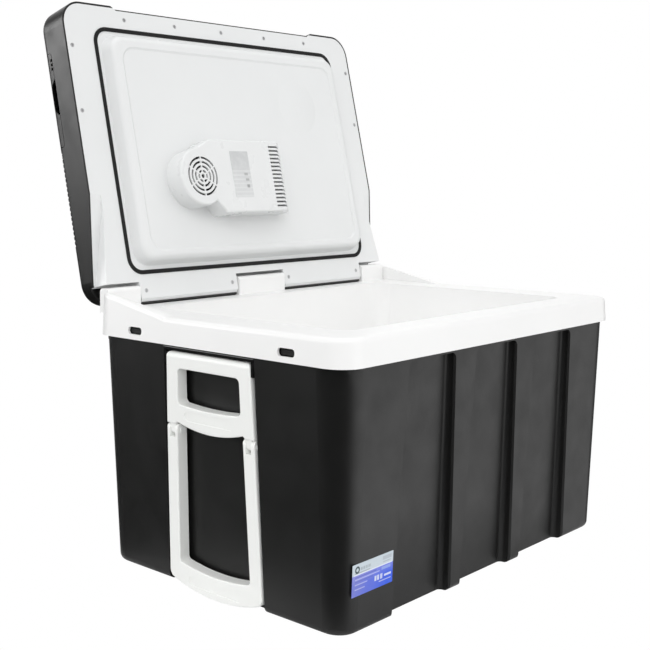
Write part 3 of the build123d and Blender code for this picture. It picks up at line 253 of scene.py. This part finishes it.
def faint_plate(name):
    """Grey stamped field on the fan cover, broken up like worn print."""
    s = Shader(name)
    u, v = s.across_face("shroud_label")
    patches = s.noise(150.0, 3.0)
    lines = s.math("SINE", s.math("MULTIPLY", v, PLATE_LINES * 2 * math.pi))
    worn = s.math("MULTIPLY", s.span(v, 1.0, 0.0, 0.60, 0.66), s.span(lines, 0.0, 1.0, 0.2, 0.6))
    amount = s.span(v, 0.30, 0.50, 0.2, 0.9)
    amount = s.math("MULTIPLY", amount, s.span(patches, 0.75, 1.0, 0.3, 0.6))
    amount = s.math("MULTIPLY", amount, s.math("SUBTRACT", 1.0, s.math("MULTIPLY", worn, 0.45)))
    colour = s.mix(amount, PLATE_PALE, PLATE_GREY)
    for box, strength, tint in PLATE_BARS:
        colour = s.mix(s.math("MULTIPLY", stroke(s, u, v, *box, 0.03), strength), colour, tint)
    s.set(Base_Color=colour, Roughness=0.36)
    return s.material


# ---- materials, one for each slot of the record ----------------------------------------------------
BLACK_LOW = (0.0085, 0.0085, 0.0083)
BLACK_HIGH = (0.0105, 0.0105, 0.0102)
# Each: dark tint, light tint, roughness, grain scale, grain depth, then specular level and gloss spread.
PLASTICS = {
    "tub_black": (BLACK_LOW, BLACK_HIGH, 0.42, 1500, 0.00004, 0.42),
    "lid_black": (BLACK_LOW, BLACK_HIGH, 0.36, 1500, 0.00004, 0.42),
    "bracket_black": ((0.006, 0.006, 0.006), (0.009, 0.009, 0.009), 0.2, 500, 0.00001),
    "foot_plastic": ((0.012, 0.012, 0.012), (0.018, 0.018, 0.018), 0.6, 1200, 0.00006),
    "bay_black": ((0.010, 0.010, 0.010), (0.016, 0.016, 0.016), 0.55, 1200, 0.00005),
    "door_black": (BLACK_LOW, BLACK_HIGH, 0.36, 1500, 0.00004, 0.42),
    "inlet_black": ((0.008, 0.008, 0.008), (0.014, 0.014, 0.014), 0.3, 900, 0.00002),
    "grille_black": ((0.010, 0.010, 0.010), (0.015, 0.015, 0.015), 0.45, 1400, 0.00004),
    "fan_black": ((0.010, 0.010, 0.010), (0.016, 0.016, 0.016), 0.5, 900, 0.00003),
    "gasket": ((0.006, 0.006, 0.006), (0.010, 0.010, 0.010), 0.6, 1800, 0.00003, 0.3),
    "hub_grey": ((0.1, 0.1, 0.1), (0.13, 0.13, 0.13), 0.5, 1200, 0.00004),
    "tyre": ((0.012, 0.012, 0.012), (0.02, 0.02, 0.02), 0.8, 700, 0.0001, 0.3, 0.05),
    "liner_white": ((0.89, 0.89, 0.885), (0.91, 0.91, 0.905), 0.34, 900, 0.00001),
    "lid_white": ((0.775, 0.785, 0.785), (0.795, 0.805, 0.805), 0.36, 900, 0.00001),
    "shroud_white": ((0.77, 0.78, 0.78), (0.79, 0.80, 0.80), 0.3, 900, 0.00001),
    "handle_white": ((0.90, 0.91, 0.89), (0.93, 0.94, 0.92), 0.4, 1100, 0.00002),
    "pin_white": ((0.86, 0.87, 0.86), (0.90, 0.91, 0.90), 0.36, 1100, 0.00002),
    # foam: a near-black foam, kept this dark so that where it shows in gaps and behind the louvres it
    # also serves as painted shade
    "foam": ((0.028, 0.028, 0.03), (0.05, 0.05, 0.052), 0.9, 500, 0.0003, 0.2, 0.05),
    "ceramic": ((0.8, 0.8, 0.77), (0.86, 0.86, 0.84), 0.5, 800, 0.00001),
    "rocker_red": ((0.42, 0.02, 0.02), (0.5, 0.03, 0.03), 0.25, 900, 0.00001),
    "board": ((0.012, 0.09, 0.03), (0.02, 0.13, 0.05), 0.35, 260, 0.00005),
}
# Each: colour, roughness, stretch of the tool lines, their depth.
METALS = {
    "steel": ((0.62, 0.62, 0.63), 0.28, (0.2, 8.0, 8.0), 0.00001),
    "screw_steel": ((0.62, 0.62, 0.63), 0.42, (8.0, 8.0, 8.0), 0.00001),
    "sink_aluminium": ((0.78, 0.79, 0.8), 0.3, (1.0, 12.0, 12.0), 0.00002),
    "block_aluminium": ((0.74, 0.75, 0.76), 0.34, (6.0, 6.0, 1.0), 0.00002),
}
MATERIALS = {name: moulded(name, *look) for name, look in PLASTICS.items()}
MATERIALS["label_grey"] = faint_plate("label_grey")
MATERIALS["label_print"] = printed_label("label_print")
MATERIALS.update({name: metal(name, *look) for name, look in METALS.items()})


def dress_nodes():
    """Puts each node's slot material on the whole node."""
    for part in frame["record"]["subparts"]:
        node = nodes[part["node"]]
        material = MATERIALS[part["material_slot"]]
        if not node.data.materials:
            node.data.materials.append(material)
        for index in range(len(node.data.materials)):
            node.data.materials[index] = material


# ---- floor and studio light ----------------------------------------------------------------------
FLOOR_RADIUS = 0.37
FLOOR_SIDES = 96
FLOOR_DROP = 0.0005

# Soft patches of the studio round the box: azimuth from +X, elevation, inner and outer half angle,
# and what the patch adds. Whites are lit by the first list; gloss shows the second.
GLOW = 0.73
GLOW_PATCHES = [(-145.0, 33.0, 5.0, 30.0, 2.2), (-45.0, 10.0, 10.0, 80.0, 0.22),
                (0.0, 90.0, 10.0, 70.0, 0.30)]
SHINE = 0.03
SHINE_PATCHES = [(-58.0, -8.0, 18.0, 46.0, 1.55), (126.0, 14.0, 9.5, 16.5, 7.2),
                 (50.0, 12.0, 12.0, 44.0, 1.0), (0.0, 90.0, 20.0, 70.0, 0.9)]


def make_floor():
    """A round table top that gives light from below and hides from the camera."""
    mesh = bpy.data.meshes.new("floor")
    angles = [2 * math.pi * i / FLOOR_SIDES for i in range(FLOOR_SIDES)]
    points = [(FLOOR_RADIUS * math.cos(a), FLOOR_RADIUS * math.sin(a), 0.0) for a in angles]
    mesh.from_pydata(points, [], [tuple(range(FLOOR_SIDES))])
    floor = bpy.data.objects.new("floor", mesh)
    bpy.context.scene.collection.objects.link(floor)
    floor.location.z = -FLOOR_DROP
    floor.visible_camera = False
    pale = moulded("floor_pale", (0.9, 0.9, 0.9), (0.91, 0.91, 0.91), 0.7, 300, 0.00001, 0.2)
    mesh.materials.append(pale)


class Studio:
    """World light: pure white behind the box, and separate soft patches for whites and for gloss."""

    def __init__(self):
        self.world = bpy.data.worlds.new("studio")
        self.world.use_nodes = True
        self.world.cycles.sampling_method = "NONE"
        self.tree = self.world.node_tree
        self.way = self.new("ShaderNodeTexCoord").outputs["Generated"]
        self.ray = self.new("ShaderNodeLightPath")

    def new(self, kind, **settings):
        node = self.tree.nodes.new(kind)
        for key, value in settings.items():
            setattr(node, key, value)
        return node

    def patch(self, azimuth, elevation, inner, outer, amount):
        turn = math.radians(azimuth)
        rise = math.radians(elevation)
        towards = (math.cos(rise) * math.cos(turn), math.cos(rise) * math.sin(turn), math.sin(rise))
        facing = self.new("ShaderNodeVectorMath", operation="DOT_PRODUCT")
        self.tree.links.new(self.way, facing.inputs[0])
        facing.inputs[1].default_value = towards
        ramp = self.new("ShaderNodeMapRange", interpolation_type="SMOOTHSTEP")
        self.tree.links.new(facing.outputs["Value"], ramp.inputs["Value"])
        ramp.inputs["From Min"].default_value = math.cos(math.radians(outer))
        ramp.inputs["From Max"].default_value = math.cos(math.radians(inner))
        ramp.inputs["To Min"].default_value = 0.0
        ramp.inputs["To Max"].default_value = amount
        return ramp.outputs["Result"]

    def total(self, base, patches):
        level = base
        for settings in patches:
            add = self.new("ShaderNodeMath", operation="ADD")
            if isinstance(level, float):
                add.inputs[0].default_value = level
            else:
                self.tree.links.new(level, add.inputs[0])
            self.tree.links.new(self.patch(*settings), add.inputs[1])
            level = add.outputs[0]
        return level

    def choose(self, flag, when_off, when_on):
        pick = self.new("ShaderNodeMix", data_type="FLOAT")
        self.tree.links.new(self.ray.outputs[flag], pick.inputs[0])
        for socket, value in ((pick.inputs[2], when_off), (pick.inputs[3], when_on)):
            if isinstance(value, float):
                socket.default_value = value
            else:
                self.tree.links.new(value, socket)
        return pick.outputs[0]

    def light(self):
        glow = self.total(GLOW, GLOW_PATCHES)
        shine = self.total(SHINE, SHINE_PATCHES)
        level = self.choose("Is Glossy Ray", glow, shine)
        level = self.choose("Is Camera Ray", level, 1.0)
        background = self.tree.nodes["Background"]
        background.inputs["Color"].default_value = (1.0, 1.0, 1.0, 1.0)
        self.tree.links.new(level, background.inputs["Strength"])
        bpy.context.scene.world = self.world
        bpy.context.scene.view_settings.view_transform = "Standard"


CARD_POWER = 0.085       # watts
CARD_HEIGHT = 0.345      # just over the rim
CARD_SIZE = (0.42, 0.27)
CARD_FORWARD = 0.004     # from the middle of the liner towards -Y


def light_cavity():
    """A weak downward panel at the mouth, so that the cavity is as pale as the rim."""
    low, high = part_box("inner_liner")
    panel = bpy.data.lights.new("cavity_card", "AREA")
    panel.shape = "RECTANGLE"
    panel.size = CARD_SIZE[0]
    panel.size_y = CARD_SIZE[1]
    panel.energy = CARD_POWER
    card = bpy.data.objects.new("cavity_card", panel)
    bpy.context.scene.collection.objects.link(card)
    card.location = ((low.x + high.x) / 2, (low.y + high.y) / 2 - CARD_FORWARD, CARD_HEIGHT)
    card.visible_camera = False
    card.visible_glossy = False


make_camera()
dress_nodes()
make_floor()
Studio().light()
light_cavity()
